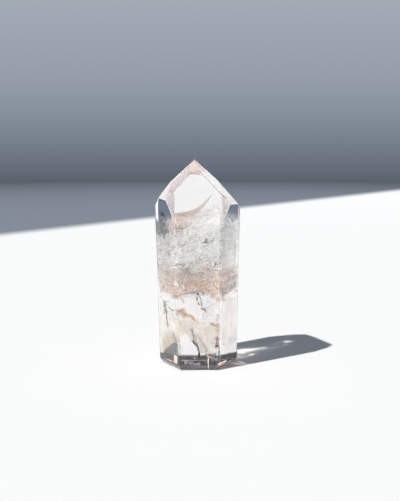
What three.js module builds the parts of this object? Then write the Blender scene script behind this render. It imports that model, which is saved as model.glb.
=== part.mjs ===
// A polished quartz point, ground from one crystal: a six-sided prism with a faceted tip, standing on a flat foot.
// Millimetres, +Z up. The origin is on the foot, in the middle of the bounding box, and the front face looks to -Y.
import * as THREE from "three";
import { ConvexGeometry } from "three/addons/geometries/ConvexGeometry.js";

// Bearings are in degrees round the axis, from the front towards +X.
// A prism face's reach is its distance from the axis at the foot, and its lean is in degrees back from upright.
const prismFaces = [
  { name: "front", bearing: 1.4, lean: 0.2, reach: 14.6 },
  { name: "front right", bearing: 59.2, lean: -2.2, reach: 13.3 },
  { name: "back right", bearing: 117.3, lean: 0.7, reach: 13.7 },
  { name: "back", bearing: 182, lean: 0, reach: 10.6 },
  { name: "back left", bearing: -117, lean: -0.8, reach: 12.7 },
  { name: "front left", bearing: -60, lean: -2.1, reach: 13.5 },
];

// A tip facet's slope is in degrees from the horizontal, and its summit is the height where its plane meets the axis.
// The front, back right and back left facets meet in the apex, and the others stop short of it.
const tipFacets = [
  { name: "front", bearing: 5, slope: 54.4, summit: 79.1 },
  { name: "right", bearing: 62.6, slope: 50.7, summit: 82.8 },
  { name: "back right", bearing: 118.1, slope: 53.7, summit: 78.8 },
  { name: "back", bearing: 182.5, slope: 52, summit: 84.5 },
  { name: "back left", bearing: -113.5, slope: 54.3, summit: 81.9 },
  { name: "left", bearing: -57.3, slope: 59.1, summit: 92.1 },
];

// The narrow bevel round the foot: how high it reaches up each prism face, and how far it draws the foot in.
const footBevel = { height: 1.8, inset: 1 };

// A corner may lie this far outside a facet's plane, for rounding.
const cornerTolerance = 1e-6;

const clearQuartz = new THREE.MeshStandardMaterial({ color: 0xe9dfdc, roughness: 0.05, metalness: 0 });

// The horizontal direction of a bearing.
function outward(bearing) {
  const angle = THREE.MathUtils.degToRad(bearing);
  return new THREE.Vector3(Math.sin(angle), -Math.cos(angle), 0);
}

// The plane of a facet through a point, with its normal out of the stone. A slope of 90 is upright,
// and one over 90 faces downwards.
function facetPlane(bearing, slope, point) {
  const angle = THREE.MathUtils.degToRad(slope);
  const normal = outward(bearing).multiplyScalar(Math.sin(angle)).setZ(Math.cos(angle));
  return new THREE.Plane().setFromNormalAndCoplanarPoint(normal, point);
}

function prismPlane(face) {
  return facetPlane(face.bearing, 90 - face.lean, outward(face.bearing).multiplyScalar(face.reach));
}

function tipPlane(facet) {
  return facetPlane(facet.bearing, facet.slope, new THREE.Vector3(0, 0, facet.summit));
}

// The bevel runs from the prism face, at the bevel's height, in to the foot.
function bevelPlane(face) {
  const reachAtTop = face.reach - footBevel.height * Math.tan(THREE.MathUtils.degToRad(face.lean));
  const reachAtFoot = face.reach - footBevel.inset;
  const rise = THREE.MathUtils.radToDeg(Math.atan2(footBevel.height, reachAtTop - reachAtFoot));
  return facetPlane(face.bearing, 180 - rise, outward(face.bearing).multiplyScalar(reachAtFoot));
}

function footPlane() {
  return new THREE.Plane(new THREE.Vector3(0, 0, -1), 0);
}

// The point where three planes meet, or null where two of them are parallel.
function meetingPoint(a, b, c) {
  const bc = new THREE.Vector3().crossVectors(b.normal, c.normal);
  const ca = new THREE.Vector3().crossVectors(c.normal, a.normal);
  const ab = new THREE.Vector3().crossVectors(a.normal, b.normal);
  const volume = a.normal.dot(bc);
  if (Math.abs(volume) < cornerTolerance) return null;
  const sum = bc.multiplyScalar(-a.constant).addScaledVector(ca, -b.constant).addScaledVector(ab, -c.constant);
  return sum.divideScalar(volume);
}

// A corner of the stone is a meeting point that no other facet has ground away.
function stoneCorners(planes) {
  const corners = [];
  for (let i = 0; i < planes.length; i += 1) {
    for (let j = i + 1; j < planes.length; j += 1) {
      for (let k = j + 1; k < planes.length; k += 1) {
        const point = meetingPoint(planes[i], planes[j], planes[k]);
        if (point && planes.every((plane) => plane.distanceToPoint(point) < cornerTolerance)) corners.push(point);
      }
    }
  }
  return corners;
}

function crystalTower() {
  const planes = [...prismFaces.map(prismPlane), ...tipFacets.map(tipPlane), ...prismFaces.map(bevelPlane), footPlane()];
  const geometry = new ConvexGeometry(stoneCorners(planes));
  geometry.computeBoundingBox();
  const middle = geometry.boundingBox.getCenter(new THREE.Vector3());
  geometry.translate(-middle.x, -middle.y, 0);
  const mesh = new THREE.Mesh(geometry, clearQuartz);
  mesh.name = "crystal_tower";
  return mesh;
}

const group = new THREE.Group();
group.add(crystalTower());

export default group;
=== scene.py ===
import math
import random
import bpy
from mathutils import Matrix, Vector, noise


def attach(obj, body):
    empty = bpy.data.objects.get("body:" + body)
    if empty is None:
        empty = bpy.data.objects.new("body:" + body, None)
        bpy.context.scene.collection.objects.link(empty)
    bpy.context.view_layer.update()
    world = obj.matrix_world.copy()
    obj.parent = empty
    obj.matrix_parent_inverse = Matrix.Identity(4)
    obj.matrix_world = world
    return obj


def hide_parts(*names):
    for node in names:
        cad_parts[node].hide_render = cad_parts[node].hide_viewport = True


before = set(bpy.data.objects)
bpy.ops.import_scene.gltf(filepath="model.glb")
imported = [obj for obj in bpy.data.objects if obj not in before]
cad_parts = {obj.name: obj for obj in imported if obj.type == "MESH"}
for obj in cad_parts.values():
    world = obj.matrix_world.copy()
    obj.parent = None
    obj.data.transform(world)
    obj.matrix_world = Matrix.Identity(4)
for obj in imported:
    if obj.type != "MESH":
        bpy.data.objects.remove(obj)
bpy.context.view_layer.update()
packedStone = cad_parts["crystal_tower"]
print("frame loaded")

mm = 0.001
weldGap = 0.01 * mm


def activeObject():
    return bpy.context.view_layer.objects.active


def deselectObjects():
    bpy.ops.object.select_all(action="DESELECT")


def selectOnly(obj):
    deselectObjects()
    obj.select_set(True)
    bpy.context.view_layer.objects.active = obj


def addToScene(name, data):
    obj = bpy.data.objects.new(name, data)
    bpy.context.scene.collection.objects.link(obj)
    return obj


def editMode():
    bpy.ops.object.mode_set(mode="EDIT")


def objectMode():
    bpy.ops.object.mode_set(mode="OBJECT")


def selectAll():
    bpy.ops.mesh.select_all(action="SELECT")


def extrudeBy(offset):
    bpy.ops.mesh.extrude_region_move(TRANSFORM_OT_translate={"value": offset})


# Camera: a short telephoto, a little above the stone.
cameraSettings = {
    "aim": (1.02 * mm, 1.91 * mm, 44.4 * mm),
    "distance": 431.6 * mm,
    "elevation": 9.0,
    "lens": 79.5, "sensorWidth": 36,
    "near": 0.01, "far": 20,
}


def makeCamera(s):
    up = math.radians(s["elevation"])
    back = Vector((0, -math.cos(up), math.sin(up)))
    data = bpy.data.cameras.new("camera")
    data.lens = s["lens"]
    data.sensor_width = s["sensorWidth"]
    data.clip_start = s["near"]
    data.clip_end = s["far"]
    camera = addToScene("camera", data)
    camera.location = Vector(s["aim"]) + back * s["distance"]
    camera.rotation_mode = "QUATERNION"
    camera.rotation_quaternion = (-back).to_track_quat("-Z", "Y")
    bpy.context.scene.camera = camera


makeCamera(cameraSettings)
print("camera placed")


def newMaterial(name, rough=0.5, shine=0.5):
    mat = bpy.data.materials.new(name)
    mat.use_nodes = True
    shader = mat.node_tree.nodes["Principled BSDF"]
    shader.inputs["Roughness"].default_value = rough
    shader.inputs["Specular IOR Level"].default_value = shine
    return mat, mat.node_tree, shader


# Node helpers. Each adds one or two nodes to a tree and returns the socket that carries the result.
def objectPlace(tree):
    return tree.nodes.new("ShaderNodeTexCoord").outputs["Object"]


def mathNode(tree, kind, a, b=0.0, c=0.0):
    node = tree.nodes.new("ShaderNodeMath")
    node.operation = kind
    for slot, value in zip(node.inputs, (a, b, c)):
        if isinstance(value, (int, float)):
            slot.default_value = value
        else:
            tree.links.new(value, slot)
    return node.outputs[0]


def vectorNode(tree, kind, place, direction=(0, 0, 0)):
    node = tree.nodes.new("ShaderNodeVectorMath")
    node.operation = kind
    tree.links.new(place, node.inputs[0])
    node.inputs[1].default_value = direction
    return node.outputs["Value"]


def axisNode(tree, place, axis):
    split = tree.nodes.new("ShaderNodeSeparateXYZ")
    tree.links.new(place, split.inputs[0])
    return split.outputs[axis]


def fromTo(tree, value, low, high, bottom=0.0, top=1.0, kind="SMOOTHSTEP"):
    spread = tree.nodes.new("ShaderNodeMapRange")
    spread.interpolation_type = kind
    for name, number in (("From Min", low), ("From Max", high), ("To Min", bottom), ("To Max", top)):
        spread.inputs[name].default_value = number
    tree.links.new(value, spread.inputs["Value"])
    return spread.outputs["Result"]


def mixColor(tree, share, a, b):
    mix = tree.nodes.new("ShaderNodeMix")
    mix.data_type = "RGBA"
    tree.links.new(share, mix.inputs["Factor"])
    for name, color in (("A", a), ("B", b)):
        if isinstance(color, tuple):
            mix.inputs[name].default_value = (*color, 1)
        else:
            tree.links.new(color, mix.inputs[name])
    return mix.outputs["Result"]


def rampNode(tree, value, stops):
    ramp = tree.nodes.new("ShaderNodeValToRGB")
    elements = ramp.color_ramp.elements
    while len(elements) < len(stops):
        elements.new(0.5)
    for element, (position, color) in zip(elements, stops):
        element.position = position
        element.color = (*color, 1)
    tree.links.new(value, ramp.inputs["Fac"])
    return ramp.outputs["Color"]


def heightRamp(tree, height, stops):
    low, high = stops[0][0], stops[-1][0]
    share = fromTo(tree, height, low, high, kind="LINEAR")
    return rampNode(tree, share, [((place - low) / (high - low), color) for place, color in stops])


def toneRamp(tree, pattern, tones, spread):
    last = len(tones) - 1
    stops = [(0.5 - spread + 2 * spread * i / last, tone) for i, tone in enumerate(tones)]
    return rampNode(tree, pattern, stops)


# Noise with grains of the given sizes in mm along x, y and z, tilted so that they rise to the right.
def grain(tree, place, size, rise=0.0, detail=4, distortion=0.0):
    turn = tree.nodes.new("ShaderNodeMapping")
    turn.vector_type = "TEXTURE"
    turn.inputs["Rotation"].default_value = (0, -math.radians(rise), 0)
    turn.inputs["Scale"].default_value = [length * mm for length in size]
    tree.links.new(place, turn.inputs["Vector"])
    pattern = tree.nodes.new("ShaderNodeTexNoise")
    pattern.inputs["Scale"].default_value = 1
    pattern.inputs["Detail"].default_value = detail
    pattern.inputs["Distortion"].default_value = distortion
    tree.links.new(turn.outputs["Vector"], pattern.inputs["Vector"])
    return pattern.outputs["Fac"]


# Stage: an eight-sided tabletop, pale in the middle, with a painted shadow over its far and right corners.
stageSettings = {
    "radius": 768 * mm, "drop": 0.03 * mm, "rough": 0.7, "shine": 0.1,
    "pale": (0.85, 0.85, 0.845),
    "slate": (0.193, 0.222, 0.262), "rimShade": (0.086, 0.1, 0.12), "rimWidth": 368 * mm, "rimPower": 2.6,
    "sidesShade": (0.118, 0.152, 0.205), "sides": (290 * mm, 400 * mm),
    "shadowEdgeBlur": 14 * mm,
    "farShadowEdge": [(-141 * mm, 353 * mm), (198 * mm, 664 * mm)],
    "rightShadowEdge": [(205 * mm, 668 * mm), (296 * mm, 327 * mm)],
    "wallHeight": 360 * mm, "wallGap": 1 * mm, "wallFrom": 0.4,
    # Backdrop glow by height in mm: painted light, darkest at its foot as painted shade.
    "wall": [(0, (0.105, 0.127, 0.157)), (16, (0.137, 0.162, 0.2)), (59, (0.215, 0.254, 0.31)),
             (102, (0.29, 0.33, 0.39)), (185, (0.365, 0.41, 0.465)), (360, (0.42, 0.46, 0.51))],
}


def addOctagon(name, radius, height, fill):
    deselectObjects()
    turn = math.pi / 8
    bpy.ops.mesh.primitive_circle_add(vertices=8, radius=radius / math.cos(turn), fill_type=fill,
                                      location=(0, 0, height), rotation=(0, 0, turn))
    octagon = activeObject()
    octagon.name = name
    bpy.ops.object.transform_apply()
    return octagon


# How far a place lies past a line on the table, from 0 to 1 over the blur on both sides of it.
def pastLine(tree, place, line, blur):
    (ax, ay), (bx, by) = line
    length = math.hypot(bx - ax, by - ay)
    nx, ny = (ay - by) / length, (bx - ax) / length       # to the left of the line
    edge = nx * ax + ny * ay
    return fromTo(tree, vectorNode(tree, "DOT_PRODUCT", place, (nx, ny, 0)), edge - blur, edge + blur)


def makeFloor(s):
    floor = addOctagon("tabletop", s["radius"], -s["drop"], "NGON")
    mat, tree, shader = newMaterial("tabletopPaintedShade", s["rough"], s["shine"])
    place = objectPlace(tree)
    # Painted shadow: slate past the far and right edges, darker towards the rim and the sides.
    far = pastLine(tree, place, s["farShadowEdge"], s["shadowEdgeBlur"])
    right = pastLine(tree, place, s["rightShadowEdge"], s["shadowEdgeBlur"])
    shade = mathNode(tree, "MAXIMUM", far, right)
    distance = vectorNode(tree, "LENGTH", place)
    rim = fromTo(tree, distance, s["radius"] - s["rimWidth"], s["radius"], kind="LINEAR")
    slate = mixColor(tree, mathNode(tree, "POWER", rim, s["rimPower"]), s["slate"], s["rimShade"])
    aside = mathNode(tree, "ABSOLUTE", axisNode(tree, place, "X"))
    slate = mixColor(tree, fromTo(tree, aside, *s["sides"], kind="LINEAR"), slate, s["sidesShade"])
    tree.links.new(mixColor(tree, shade, s["pale"], slate), shader.inputs["Base Color"])
    floor.data.materials.append(mat)
    return floor


def makeWall(s):
    wall = addOctagon("backdrop", s["radius"] + s["wallGap"], -s["wallGap"], "NOTHING")
    editMode()
    selectAll()
    extrudeBy((0, 0, s["wallHeight"]))
    selectAll()
    bpy.ops.mesh.bisect(plane_co=(0, s["wallFrom"] * s["radius"], 0), plane_no=(0, -1, 0), clear_outer=True)
    objectMode()
    mat, tree, shader = newMaterial("glowingBackdropPaintedShade")
    # The backdrop glows instead of being lit: painted light, with painted shade towards its foot.
    glow = tree.nodes.new("ShaderNodeEmission")
    stops = [(z * mm, color) for z, color in s["wall"]]
    tree.links.new(heightRamp(tree, axisNode(tree, objectPlace(tree), "Z"), stops), glow.inputs["Color"])
    tree.links.new(glow.outputs[0], tree.nodes["Material Output"].inputs["Surface"])
    wall.data.materials.append(mat)


floor = makeFloor(stageSettings)
makeWall(stageSettings)

# Light: one key from the left and a little in front, and a slate surround, palest just above the horizon.
lightSettings = {
    "keyDirection": (0.65, 0.5, -1.0), "keyStrength": 4.0, "keyColor": (1.0, 0.982, 0.958), "keyAngle": 1.0,
    "surround": [(-0.2, (0.1, 0.12, 0.145)), (0.0, (0.2, 0.235, 0.285)), (0.3, (0.27, 0.31, 0.37)),
                 (0.6, (0.13, 0.155, 0.185)), (1.0, (0.12, 0.14, 0.17))],
}


def makeLight(s):
    data = bpy.data.lights.new("key", "SUN")
    data.energy = s["keyStrength"]
    data.color = s["keyColor"]
    data.angle = math.radians(s["keyAngle"])
    data.cycles.is_caustics_light = True
    key = addToScene("key", data)
    key.rotation_mode = "QUATERNION"
    key.rotation_quaternion = Vector(s["keyDirection"]).to_track_quat("-Z", "Y")
    world = bpy.data.worlds.new("surround")
    world.use_nodes = True
    tree = world.node_tree
    direction = tree.nodes.new("ShaderNodeTexCoord").outputs["Generated"]
    color = heightRamp(tree, axisNode(tree, direction, "Z"), s["surround"])
    tree.links.new(color, tree.nodes["Background"].inputs["Color"])
    bpy.context.scene.world = world


makeLight(lightSettings)
print("stage and light ready")

# Crystal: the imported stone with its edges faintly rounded, as polishing leaves them.
crystalSettings = {
    "edgeRadius": 0.22 * mm, "edgeSegments": 3, "edgeAngle": 5, "flatAngle": 0.3,
    "ior": 1.544, "absorb": (0.61, 0.40, 0.385), "absorbDensity": 3.0,
}
facets = []     # the middle, in mm, and the normal of each facet of the stone


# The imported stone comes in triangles. This makes its facets whole.
def wholeFacets():
    selectAll()
    bpy.ops.mesh.remove_doubles(threshold=weldGap)
    bpy.ops.mesh.dissolve_limited(angle_limit=math.radians(crystalSettings["flatAngle"]))


def makeCrystal(s):
    selectOnly(packedStone)
    bpy.ops.object.duplicate()
    stone = activeObject()
    stone.parent = None
    stone.name = "polished_crystal"
    editMode()
    wholeFacets()
    objectMode()
    facets.extend((face.center.copy() / mm, face.normal.copy()) for face in stone.data.polygons)
    bevel = stone.modifiers.new("edges", "BEVEL")
    bevel.width = s["edgeRadius"]
    bevel.segments = s["edgeSegments"]
    bevel.limit_method = "ANGLE"
    bevel.angle_limit = math.radians(s["edgeAngle"])
    bpy.ops.object.modifier_apply(modifier="edges")
    bpy.ops.object.shade_smooth()
    flat = stone.modifiers.new("flatFacets", "WEIGHTED_NORMAL")
    flat.weight = 100
    bpy.ops.object.modifier_apply(modifier="flatFacets")
    return stone


def crystalMaterial(s):
    mat, tree, shader = newMaterial("clearQuartz", rough=0.0)
    shader.inputs["Base Color"].default_value = (1, 1, 1, 1)
    shader.inputs["Transmission Weight"].default_value = 1
    shader.inputs["IOR"].default_value = s["ior"]
    absorb = tree.nodes.new("ShaderNodeVolumeAbsorption")
    absorb.inputs["Color"].default_value = (*s["absorb"], 1)
    absorb.inputs["Density"].default_value = s["absorbDensity"]
    tree.links.new(absorb.outputs["Volume"], tree.nodes["Material Output"].inputs["Volume"])
    return mat


stone = makeCrystal(crystalSettings)
stone.data.materials.clear()
stone.data.materials.append(crystalMaterial(crystalSettings))
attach(stone, "root")
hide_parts("crystal_tower")

# These let Cycles bend the key's light through the stone onto the tabletop, as does the flag of the key.
stone.cycles.is_caustics_caster = True
floor.cycles.is_caustics_receiver = True
print("crystal polished")


# An area lamp that the camera and the glass don't see, and that lights only what is in one collection.
def addLamp(name, shape, size, strength, color, receivers):
    data = bpy.data.lights.new(name, "AREA")
    data.shape = shape
    data.size, data.size_y = size
    data.energy = math.pi * data.size * data.size_y * strength
    data.color = color
    lamp = addToScene(name, data)
    lamp.visible_camera = False
    lamp.visible_transmission = False
    lamp.visible_glossy = False
    lamp.light_linking.receiver_collection = receivers
    return lamp


def addCollection(name):
    collection = bpy.data.collections.new(name)
    bpy.context.scene.collection.children.link(collection)
    return collection


# A ray traced from an inclusion can't be sent to the key through a facet, so a lamp just inside each facet
# stands for the light that enters there.
glowSettings = {"inset": 0.7 * mm, "shareAcross": 0.95, "shareAlong": 0.99, "ambient": 0.58, "key": 0.64,
                "smallestFace": 10 * mm * mm, "lowestFacing": -0.4}
inclusions = addCollection("inclusions")


def makeGlow(name, face, s):
    along = Vector((0, 0, 1)) - face.normal * face.normal.z
    along.normalize()
    across = along.cross(face.normal)
    corners = [stone.data.vertices[i].co - face.center for i in face.vertices]
    reach = []
    for axis in (across, along):
        places = [corner.dot(axis) for corner in corners]
        reach.append((min(places), max(places)))
    spans = [high - low for low, high in reach]
    middle = face.center + across * sum(reach[0]) / 2 + along * sum(reach[1]) / 2
    facing = max(0, -face.normal.dot(Vector(lightSettings["keyDirection"]).normalized()))
    size = (spans[0] * s["shareAcross"], spans[1] * s["shareAlong"])
    strength = s["ambient"] + s["key"] * facing
    lamp = addLamp(name, "RECTANGLE", size, strength, lightSettings["keyColor"], inclusions)
    lamp.matrix_world = Matrix((across, along, face.normal)).transposed().to_4x4()
    lamp.location = middle - face.normal * s["inset"]


litFaces = [face for face in stone.data.polygons
            if face.area > glowSettings["smallestFace"] and face.normal.z > glowSettings["lowestFacing"]]
for i, face in enumerate(litFaces):
    makeGlow("glow_%d" % (i + 1), face, glowSettings)
print("light inside the stone:", len(litFaces), "lamps")

# The light that the stone throws into its own shadow: lamps just over the table, which light nothing else.
# A patch is a place, a length and a width in mm, a turn in degrees, a strength and a colour. Each is drawn
# as a few slim strands that cross.
throwSettings = {
    "seed": 5, "strands": 3, "slant": 16, "aside": 0.35, "slim": 0.45, "lift": 0.5, "lengthShare": (0.6, 1.1),
    "patches": [
        (18.8, 19, 6.4, 3, 22, 2.4, (1, 0.99, 0.97)), (23.2, 21.4, 6.4, 2.6, 26, 1.1, (1, 0.99, 0.96)),
        (27, 23.4, 5, 1.8, 26, 0.8, (1, 0.99, 0.96)), (21.9, 12.3, 5.4, 1.1, 42, 1.3, (1, 0.9, 0.86)),
        (18, 15.2, 4.4, 2.2, 0, 1.8, (1, 0.87, 0.78)), (17, 9, 3.4, 4.8, 40, 1.1, (1, 0.9, 0.82)),
        (28.4, 20.8, 9, 6, 30, 0.14, (1, 0.97, 0.9)), (32.6, 25.2, 5, 1.6, 28, 0.24, (1, 0.95, 0.92)),
        (33.2, 30.4, 3.2, 1.5, 30, 0.24, (1, 1, 1)), (37, 29.2, 2.6, 1.6, 30, 0.4, (1, 0.95, 0.88)),
        (38.2, 34.6, 6, 1.8, 40, 1, (1, 0.98, 0.94)), (17.8, -0.6, 7.4, 0.8, -52, 0.9, (1, 0.85, 0.7)),
        (15, -2.4, 7, 1.4, -30, 0.8, (1, 0.86, 0.74)),
    ],
}


def makeThrow(s):
    table = addCollection("table")
    table.objects.link(floor)
    rng = random.Random(s["seed"])
    strands = [patch for patch in s["patches"] for strand in range(s["strands"])]
    for i, (x, y, length, width, turn, strength, color) in enumerate(strands):
        angle = math.radians(turn + rng.uniform(-1, 1) * s["slant"])
        aside = rng.uniform(-1, 1) * s["aside"] * width
        size = (length * rng.uniform(*s["lengthShare"]) * mm, width * s["slim"] * mm)
        lamp = addLamp("thrown_%d" % (i + 1), "ELLIPSE", size, strength, color, table)
        lamp.location = ((x - aside * math.sin(angle)) * mm, (y + aside * math.cos(angle)) * mm,
                         width * s["lift"] * mm)
        lamp.rotation_euler = (0, 0, angle)


makeThrow(throwSettings)
print("thrown light in place:", len(throwSettings["patches"]))


# Inclusions lie inside the stone. Their places and sizes are in mm, in the stone's own frame.
def insideStone(place, gap):
    return all((place - centre).dot(normal) < -gap for centre, normal in facets)


def trimToStone(gap):
    for centre, normal in facets:
        selectAll()
        bpy.ops.mesh.bisect(plane_co=(centre - normal * gap) * mm, plane_no=normal, clear_outer=True)


def placeInside(piece, material):
    piece.data.materials.clear()
    piece.data.materials.append(material)
    for holder in list(piece.users_collection):
        holder.objects.unlink(piece)
    inclusions.objects.link(piece)
    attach(piece, "root")


# Waves a sheet and cuts off what then lies outside the stone or closer to a facet than the gap.
def waveAndTrim(sheet, size, height, gap):
    wave = bpy.data.textures.new(sheet.name, "CLOUDS")
    wave.noise_scale = size * mm
    wave.noise_depth = 3
    modifier = sheet.modifiers.new("waves", "DISPLACE")
    modifier.texture = wave
    modifier.texture_coords = "LOCAL"
    modifier.strength = height * mm
    selectOnly(sheet)
    bpy.ops.object.modifier_apply(modifier="waves")
    editMode()
    trimToStone(gap)
    objectMode()


# A film is a see-through cloudy sheet. Its cover is thickest in the blotches, broken up by the fine grain,
# and it thins out past each fade: a direction, the distance along it where the film starts, and how far
# it takes to reach its full cover.
dullness = {"rough": 0.6, "shine": 0.2}
toneSpread = 0.2
fineRange = (0.33, 0.67)
fadeWobble = (6, 6, 6)


def filmMaterial(name, s):
    mat, tree, shader = newMaterial(name, **dullness)
    place = objectPlace(tree)
    rise = s.get("rise", 0)
    blotches = grain(tree, place, s["blotch"], rise, detail=3, distortion=0.3)
    blotches = fromTo(tree, blotches, s["from"] - s["soft"], s["from"] + s["soft"])
    fine = fromTo(tree, grain(tree, place, s["grain"], rise, distortion=0.6), *fineRange, s["thin"], 1)
    cover = mathNode(tree, "MULTIPLY", blotches, fine)
    cover = mathNode(tree, "MULTIPLY", cover, s["cover"])
    if s.get("fades"):
        wobble = grain(tree, place, fadeWobble, detail=3)
        sway = mathNode(tree, "MULTIPLY_ADD", wobble, 2 * s["wobble"] * mm, -s["wobble"] * mm)
        for direction, start, width in s["fades"]:
            distance = vectorNode(tree, "DOT_PRODUCT", place, Vector(direction).normalized())
            along = mathNode(tree, "ADD", distance, sway)
            cover = mathNode(tree, "MULTIPLY", cover, fromTo(tree, along, start * mm, (start + width) * mm))
    if s.get("edged"):
        edge = tree.nodes.new("ShaderNodeAttribute")
        edge.attribute_name = "cover"
        cover = mathNode(tree, "MULTIPLY", cover, edge.outputs["Fac"])
    tree.links.new(cover, shader.inputs["Alpha"])
    color = toneRamp(tree, grain(tree, place, s["toneGrain"], rise), s["tones"], toneSpread)
    tree.links.new(color, shader.inputs["Base Color"])
    return mat


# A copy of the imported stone, left in edit mode.
def copyStone(name):
    copy = addToScene(name, packedStone.data.copy())
    selectOnly(copy)
    editMode()
    return copy


# A ghost is the stone's own form at an earlier stage of growth, drawn in and waved.
def makeGhost(name, s, heights, material):
    ghost = copyStone(name)
    selectAll()
    bpy.ops.mesh.remove_doubles(threshold=weldGap)
    bpy.ops.transform.resize(value=s["scale"], center_override=Vector(s["centre"]) * mm)
    for height, outwards in zip(heights, (-1, 1)):
        bpy.ops.mesh.bisect(plane_co=(0, 0, height * mm), plane_no=(0, 0, outwards), clear_outer=True)
        selectAll()
    bpy.ops.mesh.subdivide(number_cuts=s["cuts"])
    objectMode()
    waveAndTrim(ghost, *s["waves"], gap=0.4)
    bpy.ops.object.shade_smooth()
    placeInside(ghost, material)


# A layer is a waved sheet across the stone, cut off where it meets the facets.
def makeLayer(name, s, material):
    deselectObjects()
    bpy.ops.mesh.primitive_grid_add(x_subdivisions=s["cuts"], y_subdivisions=s["cuts"], size=s["size"] * mm,
                                    location=Vector(s["centre"]) * mm,
                                    rotation=[math.radians(angle) for angle in s["turn"]])
    layer = activeObject()
    layer.name = name
    bpy.ops.object.transform_apply()
    waveAndTrim(layer, *s["waves"], gap=0.4)
    bpy.ops.object.shade_smooth()
    placeInside(layer, material)


# An empty mesh, left in edit mode, and a line drawn from point to point in it.
def emptyMesh(name):
    deselectObjects()
    bpy.ops.object.add(type="MESH")
    piece = activeObject()
    piece.name = name
    editMode()
    return piece


def drawChain(points):
    bpy.ops.mesh.primitive_plane_add(size=0.1 * mm, location=Vector(points[0]) * mm)
    bpy.ops.mesh.merge(type="CENTER")
    for start, end in zip(points, points[1:]):
        extrudeBy((Vector(end) - Vector(start)) * mm)


# The distance from a place to a line, and the share of the line's length where it is nearest.
def nearestOnChain(place, points):
    best = (1e9, 0)
    for i, (start, end) in enumerate(zip(points, points[1:])):
        span = end - start
        t = max(0, min(1, (place - start).dot(span) / span.length_squared))
        best = min(best, ((place - start - span * t).length, (i + t) / (len(points) - 1)))
    return best


def smoothStep(x):
    x = max(0, min(1, x))
    return x * x * (3 - 2 * x)


# A veil is a sheet bridged between an upper and a lower line. Its cover attribute thins out
# over the shares of its width and length given as soft: top, bottom, start, end.
def makeVeil(name, s, material):
    veil = emptyMesh(name)
    drawChain(s["upper"])
    drawChain(s["lower"])
    selectAll()
    bpy.ops.mesh.bridge_edge_loops(number_cuts=7, interpolation="LINEAR")
    selectAll()
    bpy.ops.mesh.subdivide(number_cuts=3, smoothness=0.6)
    objectMode()
    upper = [Vector(point) for point in s["upper"]]
    lower = [Vector(point) for point in s["lower"]]
    cover = veil.data.attributes.new("cover", "FLOAT", "POINT")
    top, bottom, start, end = s["soft"]
    for vertex in veil.data.vertices:
        fromUpper, along = nearestOnChain(vertex.co / mm, upper)
        fromLower, alongLower = nearestOnChain(vertex.co / mm, lower)
        down = fromUpper / (fromUpper + fromLower + 1e-6)
        along = (along * fromLower + alongLower * fromUpper) / (fromUpper + fromLower + 1e-6)
        value = 1
        for distance, width in ((down, top), (1 - down, bottom), (along, start), (1 - along, end)):
            value *= smoothStep(distance / width) if width else 1
        cover.data[vertex.index].value = value
    waveAndTrim(veil, *s["waves"], gap=0.3)
    bpy.ops.object.shade_smooth()
    placeInside(veil, material)


# A flake is a small five-sided plate. One given a line to lie along is drawn out and slimmed along it.
# Its margin is how far its rim stays from the nearest facet, in mm.
flakeSettings = {"corners": 5, "ragged": 0.3, "stretch": (0.4, 1), "sway": 0.15, "margin": 0.15}


def addFlake(verts, faces, rng, place, size, lean=(0, 0, 0), along=None, slim=0):
    s = flakeSettings
    normal = Vector((rng.gauss(0, 1), rng.gauss(0, 1), rng.gauss(0, 1))) + Vector(lean)
    side = normal.orthogonal().normalized()
    across = normal.cross(side).normalized()
    turn = rng.uniform(0, math.tau)
    stretch = rng.uniform(*s["stretch"])
    if along:
        side = along.normalized()
        across = side.cross(normal).normalized()
        turn = rng.gauss(0, s["sway"])
        stretch = rng.uniform(slim / 2, slim)
    first = len(verts)
    for corner in range(s["corners"]):
        angle = math.tau * (corner + rng.uniform(-s["ragged"], s["ragged"])) / s["corners"]
        a, b = size * math.cos(angle), size * stretch * math.sin(angle)
        sideways = a * math.cos(turn) - b * math.sin(turn)
        crosswise = a * math.sin(turn) + b * math.cos(turn)
        offset = side * sideways + across * crosswise
        verts.append((place + offset) * mm)
    faces.append(tuple(range(first, len(verts))))


def flakeMesh(name, verts, faces, material):
    mesh = bpy.data.meshes.new(name)
    mesh.from_pydata(verts, [], faces)
    placeInside(addToScene(name, mesh), material)
    print(name, len(faces), "flakes")


cloudNoise = (0.7, 2.2, 4)      # roughness, lacunarity and octaves
cloudTries = 60     # how many places are tried for each flake at most


# How likely a flake is at a place in a cloud, from 0 to 1.
def cloudDensity(p, s):
    low = s["low"][0] + s["low"][1] * p.x + s["low"][2] * p.y
    high = min(start + alongX * p.x + alongY * p.y for start, alongX, alongY in s["high"])
    edge = min((p.z - low) / s["soft"][0], (high - p.z) / s["soft"][1], 1)
    if edge <= 0:
        return 0
    grainX, grainY, grainZ = s["grain"]
    q = Vector((p.x / grainX, p.y / grainY, (p.z + s["slant"] * p.x) / grainZ + s["seed"]))
    return edge * max(0, min(1, (noise.fractal(q, *cloudNoise) - s["cut"]) / s["contrast"] + 0.5))


# A cloud is a zone of fine flakes, densest where its noise is high.
def makeCloud(name, s, material):
    rng = random.Random(s["seed"])
    verts, faces = [], []
    tries = 0
    while len(faces) < s["count"] and tries < s["count"] * cloudTries:
        tries += 1
        place = Vector((rng.uniform(*s["x"]), rng.uniform(*s["y"]), rng.uniform(*s["z"])))
        if rng.random() > cloudDensity(place, s):
            continue
        size = rng.uniform(*s["size"])
        if insideStone(place, size + flakeSettings["margin"]):
            addFlake(verts, faces, rng, place, size, s["lean"])
    flakeMesh(name, verts, faces, material)


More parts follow.
